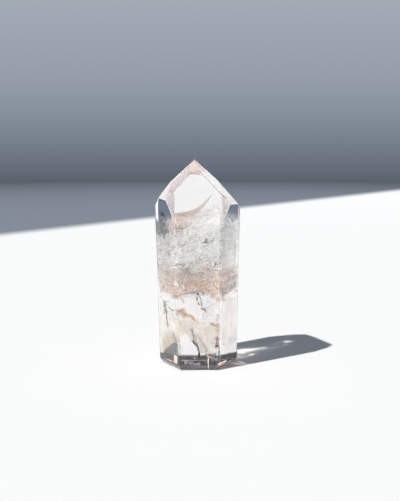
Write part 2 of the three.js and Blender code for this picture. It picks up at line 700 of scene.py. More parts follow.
# Strokes are flakes strewn along a line, as specks and stains lie along a healed crack. Each is a count, the
# spread to the sides, the smallest and largest flake, how slim the flakes are drawn along the line, and the
# line. Noise makes the line wobble, and leaves gaps in a stroke of more flakes than gapsOver. Its seed keeps
# the wobble the same each time the script runs.
strokeSettings = {"gapsOver": 40, "gapPitch": 1.7, "gapLevel": -0.28, "wobblePitch": 1.3, "wobble": 1.6,
                  "scatter": 0.6, "noiseSeed": 1}
noise.seed_set(strokeSettings["noiseSeed"])


def makeStrokes(name, seed, strokes, material, s=strokeSettings):
    rng = random.Random(seed)
    verts, faces = [], []
    for count, spread, sizes, slim, line in strokes:
        path = [Vector(point) for point in line]
        for i in range(count):
            t = rng.uniform(0, len(path) - 1.001)
            start, end = path[int(t)], path[int(t) + 1]
            place = start.lerp(end, t - int(t))
            gaps = noise.noise(place * s["gapPitch"] + Vector((seed, i % 2, 0)))
            if count > s["gapsOver"] and gaps < s["gapLevel"]:
                continue
            wobble = noise.noise_vector(place * s["wobblePitch"] + Vector((0, seed, 0)))
            place += wobble * spread * s["wobble"]
            place += Vector([rng.gauss(0, spread * s["scatter"]) for axis in range(3)])
            size = rng.uniform(*sizes)
            if insideStone(place, size + flakeSettings["margin"]):
                addFlake(verts, faces, rng, place, size, along=end - start if slim else None, slim=slim)
    flakeMesh(name, verts, faces, material)


def flakeMaterial(name, tones, size, glow=0):
    mat, tree, shader = newMaterial(name, **dullness)
    color = toneRamp(tree, grain(tree, objectPlace(tree), (size, size, size)), tones, toneSpread)
    tree.links.new(color, shader.inputs["Base Color"])
    # A glowing flake is painted light.
    if glow:
        tree.links.new(color, shader.inputs["Emission Color"])
        shader.inputs["Emission Strength"].default_value = glow
    return mat


def makeGhosts(name, s, material):
    for i, ghost in enumerate(s["ghosts"]):
        makeGhost("%s_ghost_%d" % (name, i + 1), ghost, s["heights"], material)


# Milk: nested ghosts with soft wisps that rise to the right, and a haze of fine white flakes.
milkSettings = {
    "film": {
        "tones": [(0.6, 0.6, 0.59), (0.8, 0.8, 0.79), (0.93, 0.93, 0.92)], "toneGrain": (1.6, 1.6, 0.6),
        "blotch": (6, 6, 2.6), "grain": (1.1, 1.1, 0.34), "rise": 30, "from": 0.48, "soft": 0.15, "thin": 0,
        "cover": 0.5, "wobble": 1.6,
        "fades": [((0, 0, 1), 36, 5), ((0.55, -0.33, -1), -50.6, 3.4), ((-0.6, 0, -1), -57.2, 4)]},
    "heights": (35, 66),
    "ghosts": [
        {"scale": (0.88, 0.74, 0.84), "centre": (0, -7, 6), "cuts": 14, "waves": (5, 1.6)},
        {"scale": (0.7, 0.56, 0.82), "centre": (0, -7, 6), "cuts": 12, "waves": (5, 2.2)},
        {"scale": (0.5, 0.4, 0.8), "centre": (1, -6, 8), "cuts": 12, "waves": (5, 2.4)},
        {"scale": (0.26, 0.22, 0.78), "centre": (2, -5, 10), "cuts": 10, "waves": (4, 2.4)},
    ],
    "haze": {
        "seed": 11, "count": 14000, "x": (-17, 17), "y": (-13, 13), "z": (36, 66), "low": (37, 0, 0),
        "high": [(59.6, 0.55, -0.33), (66.5, -0.6, 0)], "soft": (4, 4), "grain": (5, 5, 2.4), "slant": -0.4,
        "cut": 0.0, "contrast": 0.8, "size": (0.05, 0.13), "lean": (0, 0, 0)},
    "hazeTones": [(0.7, 0.7, 0.69), (0.92, 0.92, 0.91)],
}
makeGhosts("milk", milkSettings, filmMaterial("milkFilm", milkSettings["film"]))
makeCloud("milk_haze", milkSettings["haze"], flakeMaterial("milkFlakes", milkSettings["hazeTones"], 0.8))
print("milk in place")

# Mauve phantom: a band of near-level films over the clear foot of the stone.
mauveSettings = {
    "wallFilm": {
        "tones": [(0.5, 0.38, 0.36), (0.7, 0.58, 0.54), (0.88, 0.8, 0.76)], "toneGrain": (2.2, 2.2, 0.6),
        "blotch": (5, 5, 1.6), "grain": (1.6, 1.6, 0.3), "rise": 8, "from": 0.48, "soft": 0.14, "thin": 0,
        "cover": 0.5, "wobble": 1.6, "fades": [((0, 0, 1), 28.4, 1.2), ((0, 0, -1), -41, 5)]},
    "levelFilm": {
        "tones": [(0.66, 0.5, 0.46), (0.84, 0.74, 0.7), (0.93, 0.88, 0.85)], "toneGrain": (2, 5, 1),
        "blotch": (4, 8, 3), "grain": (1, 3, 1), "from": 0.47, "soft": 0.12, "thin": 0.1, "cover": 0.6},
    "heights": (27, 42),
    "ghosts": [
        {"scale": (0.88, 0.86, 1), "centre": (0, 0, 0), "cuts": 14, "waves": (4, 1.8)},
        {"scale": (0.6, 0.6, 1), "centre": (0, 0, 0), "cuts": 12, "waves": (4, 2.2)},
        {"scale": (0.32, 0.32, 1), "centre": (0, 0, 0), "cuts": 10, "waves": (4, 2.4)},
    ],
    "levels": [
        {"size": 36, "centre": (0, 0, 30), "turn": (3, -2, 0), "cuts": 48, "waves": (5, 2.4)},
        {"size": 36, "centre": (0, 0, 33), "turn": (0, 3, 0), "cuts": 48, "waves": (6, 2.6)},
        {"size": 36, "centre": (0, 0, 36.5), "turn": (2, -4, 0), "cuts": 48, "waves": (5, 2.6)},
    ],
    "haze": {
        "seed": 12, "count": 9000, "x": (-17, 17), "y": (-13, 13), "z": (27, 42), "low": (28.8, 0, 0),
        "high": [(40, 0, 0)], "soft": (1.2, 4), "grain": (5, 5, 1.5), "slant": 0,
        "cut": 0.0, "contrast": 0.6, "size": (0.05, 0.14), "lean": (0, 0, 1)},
    "hazeTones": [(0.55, 0.36, 0.32), (0.8, 0.62, 0.56), (0.88, 0.8, 0.75)],
}
mauveWall = filmMaterial("mauveWallFilm", mauveSettings["wallFilm"])
mauveLevel = filmMaterial("mauveLevelFilm", mauveSettings["levelFilm"])
makeGhosts("mauve", mauveSettings, mauveWall)
for i, level in enumerate(mauveSettings["levels"]):
    makeLayer("mauve_layer_%d" % (i + 1), level, mauveLevel)
makeCloud("mauve_haze", mauveSettings["haze"], flakeMaterial("mauveFlakes", mauveSettings["hazeTones"], 0.8))
print("mauve band in place")

# Veils: healed cracks and dusted growth faces, each with its film, its two lines, soft edges and waves.
filmStart = {"toneGrain": (1.6, 1.6, 0.8), "blotch": (4, 4, 3), "grain": (1.1, 1.1, 0.4), "from": 0.42,
             "soft": 0.18, "thin": 0.2, "cover": 0.6, "edged": True}
veils = [
    # the face of an older tip, crisp along its upper edge and drawn out to a point
    {"name": "phantom_cap", "film": {
        "tones": [(0.48, 0.39, 0.34), (0.57, 0.48, 0.43), (0.63, 0.56, 0.52)], "rise": 20, "from": 0.2,
        "thin": 0.8, "cover": 0.97},
     "upper": [(-10.2, -2.5, 56.6), (-7.4, -2.2, 57.3), (-4.9, -2, 58.1), (-1.9, -1.7, 59.0),
               (0.9, -1.4, 60.8), (3.2, -1, 63.1), (5.6, -0.8, 65.7)],
     "lower": [(-11, -5.6, 52.2), (-8, -5.5, 52.3), (-5.2, -5.2, 53), (-2.6, -4.6, 54.6), (0.2, -3.6, 57.4),
               (2.8, -2.4, 60.8), (5.6, -0.9, 65.4)],
     "soft": (0, 0.45, 0.04, 0), "waves": (3, 0.4)},
    {"name": "phantom_dust", "film": {
        "tones": [(0.46, 0.32, 0.29), (0.58, 0.46, 0.42), (0.72, 0.62, 0.58)], "blotch": (1.6, 1.6, 1.4),
        "from": 0.3, "grain": (0.6, 0.6, 0.4), "cover": 0.7},
     "upper": [(-9, -11.2, 59.8), (-6.5, -11.3, 59.6), (-1.4, -11.3, 59)],
     "lower": [(-8.8, -11.3, 52.6), (-6.5, -11.4, 52.8), (-1.2, -11.4, 54)],
     "soft": (0.02, 0.35, 0.04, 0.5), "waves": (2, 0.4)},
    {"name": "cap_seam", "film": {
        "tones": [(0.36, 0.3, 0.26), (0.48, 0.42, 0.38)], "from": 0.1, "grain": (0.8, 0.8, 0.5),
        "thin": 0.75, "cover": 0.9},
     "upper": [(-9.2, -11.1, 60.6), (-6.5, -11.2, 60.4), (-3, -11.2, 60)],
     "lower": [(-9.2, -11.2, 57), (-6.5, -11.3, 57), (-3, -11.3, 57.4)],
     "soft": (0, 0.5, 0, 0.4), "waves": (2, 0.1)},
    {"name": "taupe_veil", "film": {
        "tones": [(0.28, 0.27, 0.26), (0.46, 0.44, 0.42), (0.62, 0.6, 0.57)], "blotch": (3, 3, 2.4),
        "from": 0.32, "grain": (0.9, 0.9, 0.5), "thin": 0.35, "cover": 0.82},
     "upper": [(-9.2, -7, 56), (-12, -3.2, 56.4), (-16.6, 0.5, 56.6)],
     "lower": [(-8.8, -7, 30), (-12, -3.2, 31), (-16.6, 0.5, 31)],
     "soft": (0.14, 0.35, 0.1, 0), "waves": (3, 0.6)},
    # a dark slate film under the upper left face, darkening what that face shows
    {"name": "dark_slate_film", "film": {
        "tones": [(0.04, 0.05, 0.06), (0.14, 0.15, 0.17), (0.3, 0.3, 0.31)], "blotch": (1.5, 1.5, 1.2),
        "from": 0.46, "soft": 0.08, "grain": (0.6, 0.6, 0.4), "thin": 0, "cover": 0.92},
     "upper": [(-9.4, -8.4, 57.4), (-12, -5.4, 57.8), (-16, -0.6, 58)],
     "lower": [(-9.4, -8.4, 47), (-12, -5.2, 47.6), (-16, -0.4, 48)],
     "soft": (0.15, 0.6, 0.1, 0), "waves": (3, 0.5)},
    # a white strip of painted light down the upper left edge
    {"name": "painted_edge_glint", "film": {
        "tones": [(0.92, 0.87, 0.91), (0.98, 0.94, 0.97)], "from": 0.2, "thin": 0.9, "cover": 0.97},
     "upper": [(-15.9, -0.2, 64), (-15.1, -1.4, 64), (-14.5, -2.4, 64)],
     "lower": [(-15.8, 0, 55.6), (-15, -1.2, 55.6), (-14.4, -2.2, 55.6)],
     "soft": (0, 0.2, 0, 0.25), "waves": (3, 0.1)},
    {"name": "grey_edge", "film": {
        "tones": [(0.4, 0.41, 0.41), (0.55, 0.56, 0.55)], "thin": 0.5, "from": 0.34, "cover": 0.7},
     "upper": [(8.4, -10.6, 58), (9.6, -8.6, 58), (11, -6.4, 58)],
     "lower": [(8.2, -10.6, 37), (9.4, -8.6, 37), (10.8, -6.4, 37)],
     "soft": (0.2, 0.15, 0.1, 0.5), "waves": (3, 0.3)},
    {"name": "white_cloud", "film": {
        "tones": [(0.72, 0.73, 0.72), (0.9, 0.91, 0.9), (0.97, 0.97, 0.96)], "blotch": (3.5, 3.5, 3),
        "from": 0.4, "grain": (1, 1, 0.5), "rise": 50, "cover": 0.95},
     "upper": [(8.6, -6.6, 58.6), (11.2, -3, 58.4), (17.2, 2.2, 57)],
     "lower": [(8.4, -6.6, 35.6), (11.2, -3, 36), (17.2, 2.2, 36.6)],
     "soft": (0.22, 0.15, 0.2, 0), "waves": (3, 0.6)},
    {"name": "smooth_milk", "film": {
        "tones": [(0.8, 0.81, 0.8), (0.88, 0.89, 0.88)], "blotch": (5, 5, 3), "from": 0.36,
        "grain": (2, 2, 0.7), "rise": 35, "thin": 0.55, "cover": 0.85},
     "upper": [(-3.5, -8, 56.4), (0.5, -8, 58.6), (4.4, -8.4, 61.5), (8.6, -8.8, 64)],
     "lower": [(-4, -9.6, 45), (0, -9.8, 43), (4, -10, 41), (8.2, -10, 40)],
     "soft": (0.3, 0.35, 0.2, 0.1), "waves": (4, 0.5)},
    {"name": "pale_patch", "film": {
        "tones": [(0.82, 0.83, 0.82), (0.93, 0.94, 0.93)], "thin": 0.8, "from": 0.3, "cover": 0.8},
     "upper": [(-7.2, -8, 45.6), (-4.5, -8, 45.8), (-1.9, -8, 45.4)],
     "lower": [(-7.2, -8, 41.2), (-4.5, -8, 41), (-1.9, -8, 41.2)],
     "soft": (0.2, 0.2, 0.2, 0.2), "waves": (3, 0.4)},
    {"name": "grey_mottle", "film": {
        "tones": [(0.3, 0.3, 0.29), (0.46, 0.45, 0.44), (0.6, 0.59, 0.58)], "blotch": (2.4, 2.4, 1.2),
        "from": 0.4, "soft": 0.12, "grain": (0.7, 0.7, 0.3), "thin": 0.4, "cover": 0.85},
     "upper": [(-9, -8, 43), (-5, -9, 42.6), (-1, -9, 43), (4, -9, 44.4), (8.4, -9, 45)],
     "lower": [(-9, -8, 35), (-5, -9, 35), (-1, -9, 35.6), (4, -9, 37), (8.4, -9, 37.6)],
     "soft": (0.25, 0.3, 0.12, 0.12), "waves": (3, 0.5)},
    {"name": "grey_drift", "film": {
        "tones": [(0.42, 0.38, 0.36), (0.58, 0.54, 0.51)], "blotch": (4, 4, 1.6), "from": 0.36,
        "grain": (1.2, 1.2, 0.3), "rise": 8, "thin": 0.35, "cover": 0.62},
     "upper": [(-9, -9.6, 41), (-5, -10.2, 40.6), (0, -10.4, 40), (4, -10.4, 39.6)],
     "lower": [(-9, -9.6, 30.4), (-5, -10.2, 31), (0, -10.4, 33), (4, -10.4, 34)],
     "soft": (0.25, 0.3, 0.08, 0.25), "waves": (3, 0.4)},
    {"name": "white_bloom", "film": {
        "tones": [(0.8, 0.81, 0.8), (0.94, 0.95, 0.94)], "blotch": (2.2, 2.2, 2.4), "from": 0.38,
        "grain": (0.9, 0.9, 0.5), "rise": 60, "cover": 0.95},
     "upper": [(11.4, -6.6, 57), (13.3, -3.5, 58), (15.8, 0.6, 59)],
     "lower": [(11.2, -6.6, 42), (13.1, -3.5, 42), (15.4, 0.6, 42)],
     "soft": (0.15, 0.3, 0.25, 0), "waves": (2, 0.3)},
    {"name": "cap_brow", "film": {
        "tones": [(0.4, 0.33, 0.29), (0.54, 0.47, 0.42)], "from": 0.25, "grain": (0.9, 0.9, 0.5),
        "thin": 0.55, "cover": 0.75},
     "upper": [(-9.2, -10.7, 60.5), (-5, -9.8, 61.3), (-2.4, -9.1, 61.9), (0.4, -8.4, 62.6)],
     "lower": [(-9.2, -11.2, 58.8), (-5, -11.2, 58.6), (-2.4, -11.1, 58.6), (0.4, -10.8, 59)],
     "soft": (0.35, 0.2, 0.04, 0.4), "waves": (2, 0.2)},
    {"name": "tan_haze", "film": {
        "tones": [(0.62, 0.5, 0.43), (0.76, 0.66, 0.6)], "rise": 35, "cover": 0.55},
     "upper": [(-7, -4, 49.4), (-3, -4, 51.6), (1.5, -4, 53.8)],
     "lower": [(-6.5, -4, 44.5), (-2.5, -4, 47.4), (1.5, -4, 50.6)],
     "soft": (0.3, 0.3, 0.25, 0.3), "waves": (3, 0.6)},
    {"name": "mauve_drift_1", "film": {
        "tones": [(0.42, 0.29, 0.28), (0.56, 0.43, 0.42), (0.72, 0.62, 0.6)], "rise": 20,
        "blotch": (2, 2, 1.4), "grain": (0.7, 0.7, 0.3), "cover": 0.85},
     "upper": [(6.8, -4, 37.4), (10, -2, 38.4), (12.8, -1, 38.8)],
     "lower": [(7.2, -4, 34.6), (10, -2, 36), (12.8, -1, 36.8)],
     "soft": (0.3, 0.3, 0.2, 0.2), "waves": (2, 0.4)},
    {"name": "mauve_drift_2", "film": {
        "tones": [(0.4, 0.27, 0.26), (0.55, 0.42, 0.4), (0.7, 0.6, 0.57)], "rise": 20,
        "blotch": (2, 2, 1.2), "grain": (0.7, 0.7, 0.3), "cover": 0.9},
     "upper": [(5.6, -3, 33.6), (10, -1.5, 35), (15.2, 0, 36.4)],
     "lower": [(5.6, -3, 31.8), (10, -1.5, 32.8), (15.2, 0, 33.8)],
     "soft": (0.3, 0.3, 0.15, 0.1), "waves": (2, 0.4)},
    {"name": "mauve_drift_3", "film": {
        "tones": [(0.36, 0.24, 0.24), (0.5, 0.38, 0.37), (0.66, 0.56, 0.54)], "rise": 25,
        "blotch": (2.4, 2.4, 1.6), "grain": (0.7, 0.7, 0.35), "cover": 0.95},
     "upper": [(4.6, -3, 31.4), (8, -2, 31.2), (11, -1, 32.4), (14.6, 0, 33.4)],
     "lower": [(4.6, -3, 27.4), (8, -2, 27.8), (11, -1, 29), (14.6, 0, 31.4)],
     "soft": (0.25, 0.2, 0.1, 0.1), "waves": (2, 0.4)},
    {"name": "iron_arc", "film": {
        "tones": [(0.6, 0.3, 0.16), (0.74, 0.47, 0.32), (0.84, 0.66, 0.52)], "rise": -30,
        "blotch": (2, 2, 1), "grain": (0.8, 0.8, 0.25), "cover": 0.8},
     "upper": [(-5.4, -7, 33.2), (-3.4, -7, 35.2), (-0.8, -7, 34.6), (2, -7, 32.8), (4.6, -7, 31.2),
               (6.6, -7, 30)],
     "lower": [(-5.6, -7, 30.4), (-3.4, -7, 32.2), (-0.8, -7, 32), (1.8, -7, 30.4), (4.2, -7, 29.2),
               (6.4, -7, 28.4)],
     "soft": (0.2, 0.4, 0.15, 0.1), "waves": (2, 0.4)},
    {"name": "cream_veil", "film": {
        "tones": [(0.6, 0.48, 0.36), (0.72, 0.62, 0.5), (0.82, 0.75, 0.66)], "toneGrain": (3, 3, 3),
        "blotch": (4, 4, 4), "from": 0.28, "soft": 0.22, "grain": (0.7, 0.7, 1.6), "rise": -50, "thin": 0.5,
        "cover": 0.8},
     "upper": [(-7.2, -10.4, 20.4), (-4, -10.4, 21.4), (0, -10.4, 21), (4.7, -10.4, 20.2), (8.4, -10, 23)],
     "lower": [(-7.2, -10.4, 12.4), (-4.6, -10.4, 14.4), (-1.5, -10.4, 9.6), (0.6, -10.4, 5.8),
               (8.2, -10, 5.8)],
     "soft": (0.4, 0.08, 0.04, 0.06), "waves": (5, 0.3)},
    {"name": "pale_haze", "film": {
        "tones": [(0.6, 0.59, 0.57), (0.74, 0.73, 0.71)], "toneGrain": (4, 4, 5), "blotch": (5, 5, 8),
        "from": 0.35, "soft": 0.25, "grain": (1.6, 1.6, 3), "thin": 0.6, "cover": 0.34},
     "upper": [(-7.8, -10.6, 30), (0, -10.8, 30), (8.4, -10.6, 30)],
     "lower": [(-7, -10.6, 5.6), (0, -10.8, 5.6), (7.8, -10.4, 5.6)],
     "soft": (0.04, 0, 0, 0), "waves": (5, 0.2)},
    {"name": "beige_veil", "film": {
        "tones": [(0.62, 0.55, 0.47), (0.74, 0.68, 0.61)], "toneGrain": (3, 3, 3), "blotch": (5, 5, 6),
        "from": 0.26, "soft": 0.22, "grain": (1, 1, 3), "thin": 0.7, "cover": 0.62},
     "upper": [(-13.8, 0.7, 27), (-11.8, -2.9, 26.6), (-9.8, -6.6, 26.4), (-7.3, -10.8, 26)],
     "lower": [(-12.8, 0.4, 3.6), (-11.6, -1.8, 5.9), (-10.2, -4.6, 8.1), (-8.7, -7.2, 9.8),
               (-7.7, -9, 10.5), (-6.6, -10.8, 10.7)],
     "soft": (0.6, 0, 0, 0), "waves": (5, 0.2)},
    {"name": "beige_rim", "film": {
        "tones": [(0.6, 0.53, 0.45), (0.72, 0.66, 0.59)], "toneGrain": (4, 4, 3), "blotch": (6, 6, 5),
        "from": 0.15, "soft": 0.15, "grain": (1.2, 1.2, 3), "thin": 0.85, "cover": 0.97},
     "upper": [(-13.4, 0.9, 13.4), (-11.8, -2.1, 14.2), (-9.7, -5.8, 15.2), (-7.2, -10.2, 16)],
     "lower": [(-12.8, 0.5, 3.6), (-11.5, -1.7, 5.9), (-10.1, -4.5, 8.1), (-8.6, -7.1, 9.8),
               (-7.6, -8.9, 10.5), (-6.5, -10.7, 10.7)],
     "soft": (0.55, 0, 0, 0), "waves": (5, 0.2)},
    {"name": "band_sparkle", "film": {
        "tones": [(0.72, 0.5, 0.4), (0.92, 0.76, 0.68), (0.98, 0.94, 0.91)], "toneGrain": (0.5, 0.5, 0.7),
        "blotch": (1, 1, 1.2), "from": 0.42, "soft": 0.12, "grain": (0.4, 0.4, 0.4), "thin": 0.35,
        "cover": 0.92},
     "upper": [(1.6, -11.35, 35.4), (4, -11.35, 37), (6.2, -11.35, 39.6), (8.4, -11.3, 39.6)],
     "lower": [(2.6, -11.35, 30.6), (4.6, -11.35, 29.2), (6.4, -11.35, 28.4), (8.3, -11.3, 28.6)],
     "soft": (0.35, 0.25, 0.6, 0.06), "waves": (2, 0.1)},
    {"name": "right_milk", "film": {
        "tones": [(0.8, 0.8, 0.79), (0.95, 0.95, 0.94)], "toneGrain": (1.6, 1.6, 3), "blotch": (3, 3, 4),
        "from": 0.3, "soft": 0.2, "grain": (0.8, 0.8, 1.6), "thin": 0.6, "cover": 0.8},
     "upper": [(11.4, -5.4, 57.5), (13.3, -1.9, 58), (14.7, 0.6, 58)],
     "lower": [(11.2, -5.4, 40), (13.2, -1.9, 38), (14.6, 0.6, 37)],
     "soft": (0.12, 0.3, 0.5, 0), "waves": (4, 0.15)},
    # a peach bar of painted light at the foot, standing for the key's light bent through the stone
    {"name": "painted_peach_light", "film": {
        "tones": [(0.8, 0.6, 0.49), (0.93, 0.78, 0.68)], "toneGrain": (0.8, 0.8, 3), "from": 0.1,
        "thin": 0.8, "cover": 0.97},
     "upper": [(-8.6, -8.4, 5.4), (-7.2, -10.8, 5.4)],
     "lower": [(-8.5, -8.4, 1), (-7.1, -10.8, 1)],
     "soft": (0, 0, 0, 0), "waves": (2, 0.05)},
    {"name": "right_haze", "film": {
        "tones": [(0.7, 0.64, 0.58), (0.82, 0.78, 0.73)], "toneGrain": (2.4, 2.4, 9), "blotch": (3, 3, 14),
        "from": 0.22, "soft": 0.25, "grain": (1.6, 1.6, 7), "thin": 0.7, "cover": 0.56},
     "upper": [(8.2, -9, 29), (10.8, -5, 29), (14.8, 2, 29)],
     "lower": [(8, -8.6, 3.4), (10.3, -4.6, 3.4), (14.2, 2.2, 3.4)],
     "soft": (0.15, 0.35, 0.1, 0), "waves": (5, 0.2)},
    {"name": "fan_haze", "film": {
        "tones": [(0.56, 0.54, 0.56), (0.7, 0.68, 0.69)], "blotch": (3, 3, 3), "from": 0.35, "rise": 35,
        "grain": (2.4, 2.4, 0.5), "thin": 0.3, "cover": 0.42},
     "upper": [(1.6, -10.7, 28.4), (4.9, -10.7, 28.6), (8.2, -10.5, 27.6)],
     "lower": [(1.8, -10.7, 17.6), (4.9, -10.7, 18.4), (7.6, -10.2, 19.5)],
     "soft": (0.15, 0.3, 0.25, 0.1), "waves": (3, 0.3)},
]
for veil in veils:
    makeVeil(veil["name"], veil, filmMaterial(veil["name"], {**filmStart, **veil["film"]}))
print("veils in place:", len(veils))

# A blush is a faint film close under one facet: rosy at the tip and sides, dark at the foot as painted shade.
# Its gap to the facet is in mm.
blushGap = 0.85
blushStart = {"toneGrain": (3, 3, 2), "blotch": (7, 7, 5), "grain": (2, 2, 1), "from": 0.15, "soft": 0.2,
              "thin": 0.85, "wobble": 0.5}
blushes = [
    {"name": "blush_left_tip", "facing": (-0.75, 0.32, 0.58), "film": {
        "tones": [(0.72, 0.65, 0.67), (0.82, 0.74, 0.75)], "cover": 0.72, "fades": [((0, 0, 1), 62, 2)]}},
    {"name": "blush_back_tip", "facing": (-0.03, 0.79, 0.62), "film": {
        "tones": [(0.7, 0.6, 0.61), (0.84, 0.74, 0.73)], "cover": 0.97}},
    {"name": "blush_right_tip", "facing": (0.71, 0.38, 0.59), "film": {
        "tones": [(0.84, 0.72, 0.7), (0.94, 0.84, 0.82)], "cover": 0.95, "fades": [((0, 0, 1), 73.5, 1.5)]}},
    {"name": "blush_front_tip", "facing": (0.07, -0.81, 0.58), "film": {
        "tones": [(0.66, 0.57, 0.56), (0.76, 0.67, 0.65)], "cover": 0.97, "fades": [((0, 0, 1), 74.6, 1)]}},
    {"name": "blush_left", "facing": (-0.89, 0.45, -0.01), "film": {
        "tones": [(0.8, 0.74, 0.74), (0.88, 0.82, 0.81)], "cover": 0.92,
        "fades": [((0, 0, 1), 53, 11), ((0, -1, 0), -11.4, 0.8)]}},
    {"name": "blush_right", "facing": (0.89, 0.46, 0.01), "film": {
        "tones": [(0.9, 0.85, 0.83), (1, 0.95, 0.92)], "cover": 0.95,
        "fades": [((0, 0, 1), 52, 11), ((0, -1, 0), -11, 0.8)]}},
    # Dark films under the foot's bevels and along the back of the foot: painted shade.
    {"name": "shade_back_bevel", "facing": (-0.03, 0.87, -0.49), "gap": 0.3, "film": {
        "tones": [(0.02, 0.02, 0.022), (0.06, 0.055, 0.06), (0.16, 0.14, 0.15)], "blotch": (5, 5, 2),
        "cover": 0.86}},
    {"name": "shade_right_bevel", "facing": (0.75, -0.43, -0.49), "gap": 0.3, "film": {
        "tones": [(0.02, 0.02, 0.02), (0.3, 0.22, 0.17)], "blotch": (3, 3, 1), "from": 0.4, "cover": 0.8}},
    {"name": "shade_left_bevel", "facing": (-0.75, -0.43, -0.49), "gap": 0.3, "film": {
        "tones": [(0.02, 0.02, 0.03), (0.16, 0.17, 0.2)], "blotch": (3, 3, 1), "cover": 0.5}},
    {"name": "shade_back_strip", "facing": (-0.03, 1, 0), "gap": 0.3, "film": {
        "tones": [(0.02, 0.02, 0.025), (0.08, 0.08, 0.09)], "cover": 0.72,
        "fades": [((0, 0, -1), -2.5, 0.4)]}},
]


def makeBlush(s):
    material = filmMaterial(s["name"], {**blushStart, **s["film"]})
    film = copyStone(s["name"])
    wholeFacets()
    bpy.ops.mesh.select_mode(type="FACE")
    bpy.ops.mesh.select_all(action="DESELECT")
    objectMode()
    under = max(film.data.polygons, key=lambda face: face.normal.dot(Vector(s["facing"])))
    inwards = -under.normal * s.get("gap", blushGap) * mm
    for face in film.data.polygons:
        face.select = face.index != under.index
    editMode()
    bpy.ops.mesh.delete(type="FACE")
    selectAll()
    bpy.ops.transform.translate(value=inwards)
    bpy.ops.mesh.select_mode(type="VERT")
    trimToStone(gap=0.2)
    objectMode()
    placeInside(film, material)


for blush in blushes:
    makeBlush(blush)
print("blushes in place:", len(blushes))

# Wisps, specks and stains are flakes strewn along lines. A slim flake is drawn out along its line.
tinyTones = {
    "white": [(0.85, 0.85, 0.84), (0.97, 0.97, 0.96)],
    "grey": [(0.2, 0.21, 0.22), (0.45, 0.45, 0.45)],
    "dark": [(0.03, 0.03, 0.035), (0.14, 0.14, 0.14)],
    "black": [(0.008, 0.008, 0.01), (0.05, 0.045, 0.04)],
    "rust": [(0.36, 0.22, 0.19), (0.6, 0.43, 0.39)],
    "mauve": [(0.52, 0.38, 0.36), (0.76, 0.62, 0.59)],
    "tan": [(0.56, 0.41, 0.29), (0.76, 0.62, 0.5)],
    "orange": [(0.74, 0.42, 0.18), (0.88, 0.62, 0.38)],
    "salmon": [(0.86, 0.62, 0.5), (0.98, 0.92, 0.86)],
    "lilac": [(0.56, 0.53, 0.55), (0.8, 0.77, 0.79)],
    "painted_glint": [(0.7, 0.5, 0.4), (0.95, 0.8, 0.7)],
}
# The glint flakes glow: painted light.
tinyGlow = {"painted_glint": 0.75}
tiny = {}
for tone, colors in tinyTones.items():
    tiny[tone] = flakeMaterial(tone + "Flakes", colors, 0.5, tinyGlow.get(tone, 0))

# Wisps are short strokes scattered over a zone of the stone, each bent at its middle. Those of a kind with
# facings lie close under one of these facets, and the others anywhere in the zone.
frontFacing, leftFacing, rightFacing = (0, -1, 0), (-0.87, -0.5, 0), (0.86, -0.51, 0)
wispStart = {"x": (-15, 15), "y": (-11, 0), "density": 7, "size": (0.1, 0.26), "depth": (1.1, 1.5),
             "lean": 0.3, "bend": 0.1, "spread": 0.07, "slim": 0.42, "facings": None}
wispSettings = {
    "front_whites": {"seed": 41, "count": 840, "z": (38, 58), "rise": (30, 28), "length": (0.5, 2.4),
                     "tone": "white", "facings": (frontFacing, frontFacing, leftFacing, rightFacing)},
    "front_greys": {"seed": 42, "count": 440, "x": (-15, 12), "z": (36, 56), "rise": (30, 30),
                    "length": (0.4, 1.8), "size": (0.09, 0.22), "tone": "grey",
                    "facings": (frontFacing, frontFacing, leftFacing)},
    "left_greys": {"seed": 43, "count": 420, "x": (-15, -4), "z": (36, 57), "rise": (20, 40),
                   "length": (0.3, 1), "density": 8, "size": (0.1, 0.24), "tone": "grey",
                   "facings": (leftFacing, leftFacing, frontFacing)},
    "front_rusts": {"seed": 44, "count": 560, "z": (28.6, 38), "rise": (6, 16), "length": (0.4, 2.2),
                    "tone": "mauve", "facings": (frontFacing, leftFacing, rightFacing)},
    "front_tans": {"seed": 45, "count": 280, "z": (28, 36), "rise": (6, 30), "length": (0.3, 1.4),
                   "tone": "tan", "facings": (frontFacing, frontFacing, leftFacing)},
    "front_pales": {"seed": 46, "count": 560, "z": (28.6, 40), "rise": (8, 22), "length": (0.4, 2),
                    "size": (0.1, 0.28), "tone": "salmon", "facings": (frontFacing, leftFacing, rightFacing)},
    "milk_wisps": {"seed": 21, "count": 420, "x": (-13, 14), "y": (-11, 4), "z": (37, 58), "rise": (35, 30),
                   "length": (0.6, 2.6), "size": (0.12, 0.3), "tone": "white"},
    "grey_wisps": {"seed": 22, "count": 230, "x": (-13, 11), "y": (-11, 4), "z": (37, 54), "rise": (30, 35),
                   "length": (0.4, 1.6), "density": 6, "size": (0.1, 0.24), "tone": "grey"},
    "mauve_wisps": {"seed": 23, "count": 300, "y": (-11, 5), "z": (28.5, 39), "rise": (8, 16),
                    "length": (0.6, 2.4), "density": 6, "size": (0.12, 0.28), "tone": "rust"},
    "pale_wisps": {"seed": 24, "count": 260, "y": (-11, 5), "z": (28.5, 40), "rise": (8, 20),
                   "length": (0.6, 2), "density": 6, "size": (0.12, 0.3), "tone": "salmon"},
}


